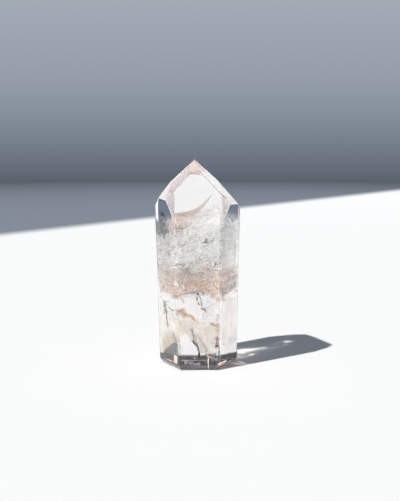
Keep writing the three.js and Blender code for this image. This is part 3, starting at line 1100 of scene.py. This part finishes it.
def scatterWisps(name, s):
    rng = random.Random(s["seed"])
    strokes = []
    for i in range(s["count"]):
        place = Vector((rng.uniform(*s["x"]), rng.uniform(*s["y"]), rng.uniform(*s["z"])))
        rise = math.radians(rng.gauss(*s["rise"]))
        length = rng.uniform(*s["length"])
        level = Vector((1, rng.gauss(0, s["lean"]), 0))
        if s["facings"]:
            facing = Vector(rng.choice(s["facings"]))
            centre, normal = max(facets, key=lambda facet: facet[1].dot(facing))
            place -= normal * ((place - centre).dot(normal) + rng.uniform(*s["depth"]))
            level = Vector((-normal.y, normal.x, 0))
        end = place + (level * math.cos(rise) + Vector((0, 0, 1)) * math.sin(rise)) * length
        middle = place.lerp(end, 0.5) + Vector((rng.gauss(0, s["bend"]), 0, rng.gauss(0, s["bend"]))) * length
        strokes.append((int(length * s["density"]), s["spread"], s["size"], s["slim"], [place, middle, end]))
    makeStrokes(name, s["seed"], strokes, tiny[s["tone"]])


for name, wisps in wispSettings.items():
    scatterWisps(name, {**wispStart, **wisps})

# The salmon glints and some of the white streaks are painted glints: bright flakes where the inclusions catch
# the light.
# Each set of strokes has a name, a tone and its rows.
strokeSets = [
    ("dark_specks", "dark", [
        (27, 0.2, (0.23, 0.5), 0, [(-12.1, -5.1, 50.7), (-12.1, -5.1, 50.4)]),
        (15, 0.16, (0.19, 0.39), 0, [(-10.9, -7.1, 48.9), (-10.9, -7.1, 48.7)]),
        (8, 0.2, (0.16, 0.31), 0, [(-13.5, -2.3, 45.5), (-13.5, -2.3, 45.1)]),
        (255, 0.5, (0.12, 0.43), 0, [(-13.8, -2.3, 56.3), (-11, -7.2, 56.1), (-13.6, -2.5, 53.9),
            (-11.2, -6.7, 53.8), (-13.3, -3, 52.1), (-10.4, -8.1, 53.6)]),
        (190, 1, (0.16, 0.44), 0, [(-13.2, -3.8, 60.3), (-12, -5.7, 58.6), (-13.6, -2.7, 56.3)]),
        (17, 0.14, (0.16, 0.34), 0, [(-10.4, -7.7, 45.4), (-10.3, -7.8, 43.9)]),
        (40, 0.2, (0.12, 0.26), 0.6, [(2.5, -11.3, 49.5), (3.8, -11.2, 49.8)]),
        (36, 0.2, (0.12, 0.26), 0, [(3.1, -11.2, 50.2), (3.5, -11.2, 50.9)]),
        (27, 0.08, (0.16, 0.34), 0.3, [(2.5, -11.3, 47.8), (4.1, -11.2, 49.1)]),
        (8, 0.12, (0.16, 0.34), 0, [(6, -11.2, 51.1), (6.4, -11.2, 51.1)]),
        (26, 0.12, (0.19, 0.43), 0.4, [(6.5, -11.2, 40.4), (7, -11.2, 41.6)]),
        (70, 0.5, (0.08, 0.2), 0, [(10.7, -8.2, 59.7), (11.7, -6.4, 57.9), (10.9, -7.6, 57)]),
        (24, 0.3, (0.08, 0.2), 0, [(12.5, -5, 57.2), (13.1, -4, 57.4)]),
        (46, 0.4, (0.08, 0.2), 0, [(12.9, -4.6, 60.4), (14.2, -2.4, 60.2), (14.8, -1.2, 59)]),
        (44, 0.9, (0.11, 0.28), 0, [(-9.9, -6.8, 21.5), (-7.8, -11.6, 20.2), (-9.1, -8, 18.6)]),
        (14, 0.16, (0.16, 0.39), 0, [(-12.5, -3.1, 31.4), (-12.3, -3.3, 31.2)]),
        (14, 0.15, (0.16, 0.39), 0, [(13.6, -1.3, 28.5), (13.6, -1.3, 28.2)]),
    ]),
    ("grey_streaks", "grey", [
        (26, 0.14, (0.2, 0.45), 0.45, [(4.5, -11.1, 49.4), (5.8, -11.1, 50.3)]),
        (117, 0.45, (0.13, 0.39), 0, [(-7.9, -11.4, 41.5), (-5, -11.4, 40.8), (-6.6, -11.4, 39.5),
            (-3.8, -11.4, 38.9), (-2.8, -11.3, 41)]),
        (18, 0.1, (0.16, 0.39), 0.3, [(-0.3, -11.3, 43.4), (1.2, -11.2, 43.4)]),
        (31, 0.3, (0.13, 0.39), 0.4, [(-10, -8.5, 50.6), (-8.8, -10.6, 51.6)]),
        (110, 0.24, (0.14, 0.36), 0.5, [(-0.4, -11.3, 28.8), (0.1, -11.3, 27.5), (0.6, -11.3, 25.7)]),
        (110, 0.24, (0.14, 0.36), 0.5, [(0.8, -11.3, 29), (1.4, -11.3, 27.1), (1.8, -11.3, 25.2)]),
        (52, 0.3, (0.13, 0.31), 0, [(-2, -11.3, 30.5), (0.6, -11.3, 30.2)]),
        (31, 0.25, (0.16, 0.36), 0, [(0.1, -11.3, 30.4), (0.4, -11.3, 29)]),
        (31, 0.25, (0.16, 0.36), 0, [(1.4, -11.3, 31), (2.5, -11.2, 29.8)]),
        (12, 0.16, (0.13, 0.33), 0, [(3, -11.2, 23.2), (3.3, -11.2, 22.8)]),
        (16, 0.2, (0.13, 0.33), 0, [(-13.4, -1, 29), (-13.2, -1.3, 27.8)]),
        (78, 0.6, (0.1, 0.26), 0, [(-10.2, -6.1, 21.7), (-8.2, -9.5, 20.9), (-7.4, -10.7, 18.8)]),
        (169, 0.5, (0.13, 0.36), 0, [(3.3, -11, 5.5), (5.6, -10.9, 5.1), (6.7, -10.4, 4.6),
            (6.4, -10.9, 3.9)]),
    ]),
    ("white_streaks", "white", [
        (50, 0.12, (0.1, 0.26), 0.5, [(0.2, -11.6, 10.4), (0.9, -11.6, 8.6), (1.2, -11.6, 6.6)]),
        (50, 0.16, (0.1, 0.26), 0.5, [(6.7, -11.3, 12.4), (6.8, -11.2, 10), (7, -10.9, 7)]),
        (160, 0.3, (0.12, 0.3), 0, [(7.3, -11.2, 38.6), (7, -11.2, 33), (6.9, -11.2, 30.6)]),
        (220, 0.7, (0.12, 0.34), 0, [(5, -11.3, 33), (6.2, -11.2, 31)]),
        (70, 0.4, (0.1, 0.26), 0, [(4.8, -10.9, 5.2), (6.4, -10.7, 4.4)]),
        (90, 0.35, (0.14, 0.36), 0, [(13, -2.9, 31), (14.4, -0.6, 30.4)]),
        (23, 0.16, (0.19, 0.44), 0, [(-5.3, -11.6, 49.4), (-6, -11.6, 49.9)]),
        (20, 0.1, (0.19, 0.4), 0.45, [(-3.8, -11.5, 50.1), (-3.6, -11.5, 51.3)]),
        (26, 0.12, (0.19, 0.44), 0.4, [(-4.6, -11.5, 54), (-4.4, -11.5, 52.3)]),
        (26, 0.12, (0.19, 0.44), 0.4, [(-2.6, -11.5, 54.6), (-2.8, -11.5, 52.5)]),
        (34, 0.08, (0.19, 0.44), 0.35, [(-11.6, -5.7, 43.8), (-10.5, -7.4, 41.9)]),
        (23, 0.16, (0.19, 0.44), 0, [(5.8, -11.3, 42.1), (6, -11.3, 40.6)]),
        (21, 0.12, (0.19, 0.44), 0, [(-6.9, -11.6, 40.6), (-5.9, -11.6, 40.5)]),
        (21, 0.16, (0.19, 0.38), 0, [(-5, -11.6, 40.2), (-3.5, -11.5, 40.8)]),
        (39, 0.1, (0.19, 0.44), 0.4, [(11.6, -7.2, 57.8), (12.5, -5.5, 56.3), (13.5, -3.7, 54.1)]),
        (29, 0.18, (0.25, 0.53), 0, [(13.6, -3.5, 54.5), (13.7, -3.2, 53.4)]),
        (13, 0.14, (0.19, 0.44), 0, [(13.4, -4, 55.8), (13.6, -3.6, 55.2)]),
        (18, 0.16, (0.19, 0.44), 0, [(14.3, -2.2, 52.7), (14.9, -1.2, 53.2)]),
        (34, 0.12, (0.19, 0.44), 0, [(2.3, -11.4, 41.6), (4, -11.4, 41.9)]),
        (10, 0.12, (0.15, 0.38), 0, [(5.3, -11.3, 51.2), (5.9, -11.3, 51.5)]),
        (34, 0.4, (0.12, 0.35), 0.5, [(1, -11.4, 52.5), (3.3, -11.3, 54)]),
        (39, 0.14, (0.19, 0.44), 0, [(7.5, -11.3, 36.9), (7.5, -11.3, 36)]),
        (39, 0.14, (0.19, 0.44), 0, [(7.6, -11.3, 32.9), (7.6, -11.3, 31.9)]),
        (18, 0.14, (0.19, 0.38), 0, [(6.1, -11.3, 32.3), (6.3, -11.3, 31.7)]),
        (16, 0.14, (0.19, 0.38), 0, [(3.8, -11.4, 32.3), (4, -11.4, 31.8)]),
        (73, 0.3, (0.15, 0.38), 0, [(9.4, -8.9, 32.9), (11.6, -5.2, 32.7), (12.6, -3.5, 32.8)]),
        (18, 0.2, (0.15, 0.38), 0, [(13.8, -1.6, 34), (14.4, -0.6, 34.2)]),
        (18, 0.16, (0.19, 0.38), 0, [(13.6, -1.7, 29.9), (13.8, -1.3, 29.4)]),
        (39, 0.35, (0.12, 0.33), 0, [(-8.1, -11.2, 34.6), (-7.9, -11.7, 33.5)]),
        (26, 0.16, (0.15, 0.38), 0, [(-5.4, -11.6, 33.3), (-5.1, -11.6, 31.8)]),
        (29, 0.2, (0.19, 0.44), 0, [(2, -11.5, 23.4), (2.1, -11.5, 22.8)]),
        (160, 0.22, (0.14, 0.38), 0.6, [(9, -9.6, 11.6), (10.2, -7.4, 9.6), (10.8, -6.2, 7.8)]),
        (420, 0.7, (0.14, 0.4), 0.4, [(13.2, -2, 56), (13.8, -0.9, 50), (13.6, -1.2, 45)]),
        (160, 0.5, (0.12, 0.34), 0, [(9.6, -8.6, 52), (9.8, -8.2, 47)]),
        (200, 0.45, (0.12, 0.34), 0, [(10, -7.4, 32.6), (12.6, -3.2, 33.6), (14, -1, 34)]),
        (70, 0.1, (0.15, 0.38), 0.5, [(15.1, -1.1, 55.3), (15.2, -0.4, 48.9), (15.2, 0.3, 40.2)]),
    ]),
    ("rust_stains", "rust", [
        (120, 0.24, (0.08, 0.22), 0.5, [(-2.4, -11.4, 16), (-1.6, -11.4, 13.8), (-0.4, -11.4, 12.4)]),
        (150, 0.16, (0.08, 0.22), 0.5, [(0.8, -11.4, 12), (2.2, -11.4, 10.6), (3.2, -11.4, 8.6),
            (3.8, -11.4, 6.8)]),
        (90, 0.18, (0.1, 0.26), 0.5, [(-0.9, -11.5, 11), (0, -11.5, 9), (0.4, -11.5, 7.2)]),
        (200, 0.3, (0.1, 0.28), 0.5, [(7.2, -11.1, 13), (7.4, -11, 11), (7.2, -10.7, 9.4)]),
        (80, 0.34, (0.08, 0.22), 0, [(-7.4, -11.5, 50.2), (-6.5, -11.5, 48.8), (-5.6, -11.5, 48.2),
            (-5.3, -11.5, 46.4)]),
        (200, 1, (0.1, 0.24), 0, [(-8.8, -11.3, 56.7), (-7.3, -11.3, 55.7), (-5.4, -11.2, 54.7),
            (-7.7, -11.3, 53.8), (-8.8, -11.3, 55.1)]),
        (21, 0.11, (0.13, 0.34), 0.4, [(4.8, -11.2, 44.2), (6.5, -11.2, 43.7)]),
        (78, 0.1, (0.16, 0.39), 0.4, [(-5.1, -11.5, 29.9), (-3.5, -11.5, 30.1), (-2, -11.4, 30.1)]),
        (130, 0.13, (0.13, 0.34), 0.5, [(8.5, -11.2, 34), (8.5, -11.2, 31.3), (8.4, -11.2, 28.8)]),
        (117, 0.22, (0.16, 0.39), 0, [(9, -9.2, 31.8), (9.1, -8.9, 27.8)]),
        (130, 0.6, (0.12, 0.34), 0.6, [(10.3, -7.3, 36.7), (11.9, -4.7, 37.6), (13.7, -1.5, 36)]),
        (150, 0.5, (0.12, 0.34), 0.6, [(9.9, -7.8, 34), (12.3, -3.8, 34.2), (15.2, 1, 34.6)]),
        (300, 0.8, (0.12, 0.34), 0.6, [(9.3, -8.4, 29.3), (11.1, -5.4, 29.8), (13.1, -2.1, 31),
            (14.8, 0.5, 31.9)]),
        (16, 0.22, (0.16, 0.36), 0, [(14.4, 0, 28.6), (15.2, 1.3, 28.8)]),
        (60, 0.13, (0.16, 0.42), 0.4, [(-12.6, -2.3, 25.4), (-11.4, -4.3, 25.4), (-9.8, -7.1, 26.1)]),
        (31, 0.17, (0.16, 0.39), 0.5, [(-12.7, -2, 25.2), (-12, -3.2, 24.3)]),
        (520, 0.6, (0.1, 0.3), 0.5, [(-12.2, -2.9, 25), (-11.5, -3.9, 23.6), (-11.3, -4.3, 21.6)]),
        (340, 0.26, (0.14, 0.36), 0.6, [(-11.4, -4.1, 22), (-11.3, -4, 18.5), (-10.7, -4.8, 15.6)]),
        (170, 0.7, (0.08, 0.24), 0.5, [(-6.6, -11.4, 23.4), (-5.4, -11.4, 22.6), (-4.4, -11.4, 21.6)]),
        (78, 0.33, (0.13, 0.34), 0.5, [(-12.5, -2.2, 23.3), (-12, -3, 21.5), (-12.5, -1.9, 20)]),
        (78, 0.22, (0.13, 0.34), 0, [(-10.8, -5.2, 24.1), (-9.8, -6.9, 23.1), (-8.2, -9.6, 22.9)]),
        (140, 0.5, (0.1, 0.26), 0.5, [(-7.9, -11.5, 23.6), (-7, -11.5, 23.3), (-7.6, -11.5, 21.7),
            (-6.4, -11.5, 22.1)]),
        (52, 0.06, (0.1, 0.26), 0.3, [(7.8, -10.8, 27.4), (7.9, -10.4, 25), (7.9, -10.2, 22.6)]),
        (78, 0.13, (0.13, 0.33), 0, [(1.4, -11.3, 23.9), (2.2, -11.3, 24.3), (3, -11.2, 23.7)]),
        (260, 0.05, (0.1, 0.25), 0.3, [(-13.9, 1, 27), (-13.5, 1, 12.9), (-13.1, 0.9, 4.1)]),
    ]),
    ("tan_stains", "tan", [
        (160, 0.7, (0.1, 0.26), 0.5, [(-6, -11.3, 23.6), (-4.4, -11.3, 21.8), (-2, -11.3, 20.6)]),
        (150, 0.7, (0.08, 0.26), 0.5, [(-3.4, -11.1, 33.4), (-0.5, -11.1, 33.2), (3.4, -11.1, 31)]),
        (120, 0.5, (0.1, 0.3), 0, [(-9.4, -8.6, 28.8), (-7.6, -11, 27.8), (-6.6, -11.2, 28.8)]),
        (120, 0.5, (0.1, 0.3), 0, [(5.6, -11.1, 28.6), (8, -10.8, 27.4), (9.4, -8.6, 27.2)]),
        (80, 0.8, (0.08, 0.2), 0, [(-3.5, -11, 51.1), (-2, -11, 50.9), (-0.1, -10.9, 51.7)]),
        (156, 1.08, (0.12, 0.33), 0, [(-12.3, -3.9, 49.9), (-10.3, -7.2, 47.7), (-9.1, -9.2, 46.5)]),
        (130, 0.7, (0.1, 0.26), 0.6, [(-4.2, -11.3, 30.6), (-3.9, -11.3, 32.7), (-2.4, -11.2, 34.4),
            (-0.5, -11.2, 34.7)]),
        (78, 0.36, (0.15, 0.38), 0, [(-8.9, -8.7, 29.6), (-7.7, -11.4, 28.7), (-5.8, -11.3, 30.2)]),
        (220, 0.6, (0.1, 0.26), 0, [(5.4, -11.2, 17.5), (6.2, -11.2, 18), (7.1, -11.2, 17.5)]),
        (130, 0.28, (0.1, 0.26), 0.5, [(7.9, -11.1, 22.2), (7.5, -11.1, 19.7), (7.2, -11, 17.1)]),
        (150, 0.4, (0.1, 0.26), 0.5, [(7.5, -11.2, 17.3), (7.3, -10.7, 15.3), (7.5, -10.3, 13.2)]),
        (34, 0.17, (0.15, 0.38), 0, [(-13.7, -0.8, 33.7), (-13.8, -0.7, 32.1)]),
        (26, 0.14, (0.15, 0.38), 0, [(-13.7, -0.4, 26.6), (-13.1, -1.5, 26.7)]),
    ]),
    ("orange_stains", "orange", [
        (260, 0.6, (0.08, 0.24), 0.5, [(-0.5, -11.2, 34.2), (1.4, -11.1, 33.3), (3.7, -11.1, 31.8),
            (5.6, -11.1, 30)]),
        (50, 0.33, (0.12, 0.28), 0, [(6, -11, 29.4), (7.1, -11, 28.2), (8.2, -11, 27.2)]),
        (260, 0.55, (0.12, 0.42), 0.3, [(-5.8, -11.4, 24), (-5.1, -11.4, 22.9), (-4.3, -11.4, 21.8)]),
        (60, 0.3, (0.12, 0.3), 0.4, [(-5, -11.4, 22), (-2.6, -11.4, 21.2)]),
        (330, 0.34, (0.1, 0.3), 0.6, [(-3.2, -11.4, 21.4), (-2, -11.4, 20.9), (-0.8, -11.3, 19.4)]),
        (26, 0.21, (0.1, 0.26), 0.5, [(-0.5, -11.3, 19.3), (0.8, -11.3, 18.2)]),
        (130, 0.5, (0.12, 0.42), 0.3, [(-6.2, -11.5, 21.9), (-5.1, -11.4, 20.4)]),
        (50, 0.21, (0.12, 0.28), 0.5, [(-7.2, -11.5, 19), (-6.8, -11.5, 17.8), (-6, -11.5, 16.8)]),
        (50, 0.39, (0.12, 0.3), 0, [(8.5, -9.6, 27.3), (10.1, -6.8, 26.6)]),
        (380, 0.08, (0.12, 0.3), 0.5, [(-12.7, -0.7, 4.2), (-11.9, -2.3, 6), (-10.4, -5, 8.1),
            (-8.9, -7.7, 9.8), (-8, -9.3, 10.5)]),
    ]),
    ("salmon_glints", "salmon", [
        (200, 0.05, (0.08, 0.2), 0.3, [(-6.2, -11, 3.9), (3.4, -11, 3.9)]),
        (160, 0.3, (0.12, 0.3), 0, [(4.5, -11.2, 33.6), (5.6, -11.2, 32.8), (4.4, -11.2, 32.1),
            (6.4, -11.2, 32.3), (6.1, -11.2, 30.8)]),
        (160, 0.3, (0.12, 0.3), 0, [(7.2, -11.2, 38.1), (6.8, -11.2, 33.7), (6.6, -11.2, 29.4)]),
        (150, 0.5, (0.1, 0.3), 0, [(0.5, -11.2, 33), (3.4, -11.1, 31), (5.4, -11.1, 29.4)]),
        (80, 0.7, (0.1, 0.28), 0, [(1.8, -11.2, 40.8), (3.3, -11.2, 40), (4.4, -11.1, 40.6)]),
        (40, 0.5, (0.1, 0.28), 0, [(1.4, -11.2, 39.3), (2.5, -11.2, 38.3)]),
        (154, 0.5, (0.14, 0.38), 0, [(-12, -3.7, 30.3), (-10.6, -6.3, 31.1), (-10, -7.2, 30)]),
        (84, 0.44, (0.14, 0.36), 0, [(-11.6, -4.6, 32.4), (-10.6, -6.3, 32)]),
        (84, 0.11, (0.12, 0.31), 0.5, [(3.9, -11.4, 6.8), (4.2, -11.4, 4.8)]),
    ]),
    ("lilac_tails", "lilac", [
        (420, 0.4, (0.1, 0.28), 0, [(-4.7, -10.9, 3), (-2, -10.9, 2.6), (0.8, -10.9, 2.5)]),
        (30, 0.2, (0.12, 0.3), 0, [(-1.2, -11, 4.8), (-0.6, -11, 4.6)]),
        (90, 0.6, (0.1, 0.28), 0.5, [(2.2, -11, 22.4), (2.2, -11, 18.9)]),
        (60, 0.07, (0.12, 0.36), 0.3, [(8.1, -10.8, 26.4), (5.6, -10.9, 25.3), (3.3, -10.9, 24.1)]),
        (52, 0.07, (0.12, 0.36), 0.3, [(8.1, -10.8, 25.3), (6, -10.9, 24.1), (4.2, -10.9, 23.2)]),
        (47, 0.07, (0.12, 0.36), 0.3, [(7.5, -10.8, 27.8), (5.2, -10.9, 27.2), (2.9, -10.9, 26.5)]),
        (39, 0.07, (0.12, 0.36), 0.3, [(6, -10.9, 28.4), (2.3, -10.9, 27.7)]),
        (40, 0.3, (0.1, 0.26), 0, [(-6, -11.3, 28.3), (-5.3, -11.3, 26.3)]),
    ]),
    # Black specks darken the cracks; their first row is painted shade along the foot of the right faces, the
    # second a dark line down the left edge.
    ("black_specks", "black", [
        (220, 0.07, (0.12, 0.28), 0.5, [(6.9, -10.5, 0.6), (10.4, -4.4, 0.6), (13.9, 1.5, 0.6)]),
        (300, 0.05, (0.08, 0.16), 0.4, [(-14.9, 0.2, 24), (-14.5, 0.4, 12), (-14.2, 0.6, 3)]),
        (40, 0.16, (0.2, 0.4), 0, [(0.6, -11.3, 7), (0.8, -11.3, 5.6)]),
        (44, 0.12, (0.2, 0.42), 0, [(-1.6, -11.4, 11.6), (-1.1, -11.4, 10.4)]),
        (140, 0.24, (0.12, 0.3), 0, [(-0.5, -11.4, 10.5), (0.1, -11.4, 9.2), (0.6, -11.4, 7.6)]),
        (140, 0.12, (0.2, 0.42), 0, [(0.7, -11.4, 7.4), (0.8, -11.4, 5.4)]),
        (300, 0.3, (0.14, 0.36), 0, [(7.2, -10.7, 9.4), (7.8, -9.6, 8.2), (7.8, -9.4, 6.4),
            (7.5, -9.7, 5.7)]),
        (60, 0.18, (0.08, 0.2), 0.6, [(-8.9, -8, 14.3), (-8.1, -9.2, 12.2), (-7.4, -10.4, 10.7)]),
        (80, 0.16, (0.08, 0.22), 0.6, [(-6.8, -11.2, 10.4), (-6.7, -11.3, 8.2), (-6.6, -11.3, 5.6)]),
        (68, 0.4, (0.14, 0.36), 0, [(4.8, -10.8, 5), (6.6, -10.6, 4.2)]),
    ]),
    # Peach glints glow along the foot: painted light standing for the key's light bent through the stone.
    ("painted_peach_glints", "painted_glint", [
        (460, 0.1, (0.12, 0.26), 0.6, [(7.2, -10.8, 1.2), (10.7, -4.9, 1.2), (14, 0.6, 1.2)]),
        (120, 0.12, (0.18, 0.36), 0.5, [(-11.2, -1.5, 2), (-9.6, -4.4, 2.1), (-7.1, -8.6, 2.4)]),
        (420, 0.26, (0.15, 0.35), 0.6, [(7.2, -10, 1.8), (8.3, -7, 1.7), (10.3, -3.4, 1.7)]),
        (100, 0.1, (0.14, 0.36), 0.5, [(4.1, -10.8, 5.6), (4.2, -10.6, 3.5), (4.2, -9.9, 1)]),
    ]),
]
for seed, (name, tone, strokes) in enumerate(strokeSets, 31):
    makeStrokes(name, seed, strokes, tiny[tone])
print("wisps, specks and stains in place")

# Cracks: jagged ribbons that run back into the stone, dark in patches as a painted reflection of the room,
# pale in between, and broken by gaps.
crackSettings = {
    "tones": [(0.05, 0.04, 0.035), (0.3, 0.22, 0.18), (0.7, 0.62, 0.56)], "toneGrain": (0.9, 2.5, 0.7),
    "spread": 0.12, "rough": 0.25, "gapGrain": (0.7, 2, 0.9), "gapRise": 20, "gaps": (0.42, 0.5),
    "waves": (0.5, 0.4), "gap": 0.25,
}
cracks = [
    {"name": "crack_1", "depth": (0.3, 1.2, 0.3),
     "path": [(-2.6, -11.2, 16.2), (-2, -11.2, 15.1), (-1.8, -11.2, 13.9), (-1.3, -11.2, 12.5)]},
    {"name": "crack_2", "depth": (0.2, 1.4, 0.2),
     "path": [(-1.6, -11.2, 12.4), (-0.5, -11.2, 10.5), (0.1, -11.2, 9.2), (0.6, -11.2, 7.6),
              (0.8, -11.2, 5.2)]},
    {"name": "crack_3", "depth": (0.2, 1, -0.25),
     "path": [(-1.5, -11.2, 13.9), (0.1, -11.2, 13.3), (1, -11.2, 12.3), (2.2, -11.2, 10.7),
              (3.3, -11.2, 8.4), (3.8, -11.2, 7)]},
    {"name": "crack_4", "depth": (0.3, 1, 0.1),
     "path": [(7.1, -11, 13), (7.2, -11, 11.1), (7.2, -10.5, 9.6)]},
    {"name": "crack_5", "depth": (0.5, 1.6, 0.1),
     "path": [(-9.1, -7.8, 15), (-8.5, -8.6, 13.2), (-7.5, -10.2, 10.9)]},
]


def crackMaterial(s):
    mat, tree, shader = newMaterial("crackedQuartz", s["rough"])
    place = objectPlace(tree)
    color = toneRamp(tree, grain(tree, place, s["toneGrain"], detail=3), s["tones"], s["spread"])
    tree.links.new(color, shader.inputs["Base Color"])
    gaps = fromTo(tree, grain(tree, place, s["gapGrain"], s["gapRise"], detail=3), *s["gaps"])
    tree.links.new(gaps, shader.inputs["Alpha"])
    return mat


def makeCrack(name, path, depth, s, material):
    crack = emptyMesh(name)
    drawChain(path)
    selectAll()
    extrudeBy(Vector(depth) * mm)
    selectAll()
    bpy.ops.mesh.subdivide(number_cuts=9, smoothness=0.5)
    objectMode()
    waveAndTrim(crack, *s["waves"], gap=s["gap"])
    placeInside(crack, material)


cracked = crackMaterial(crackSettings)
for crack in cracks:
    makeCrack(crack["name"], crack["path"], crack["depth"], crackSettings, cracked)
print("cracks in place")

scene = bpy.context.scene
scene.view_settings.view_transform = "Standard"
scene.cycles.use_denoising = True
scene.cycles.max_bounces = 32
scene.cycles.transmission_bounces = 32
scene.cycles.glossy_bounces = 16
scene.cycles.transparent_max_bounces = 64
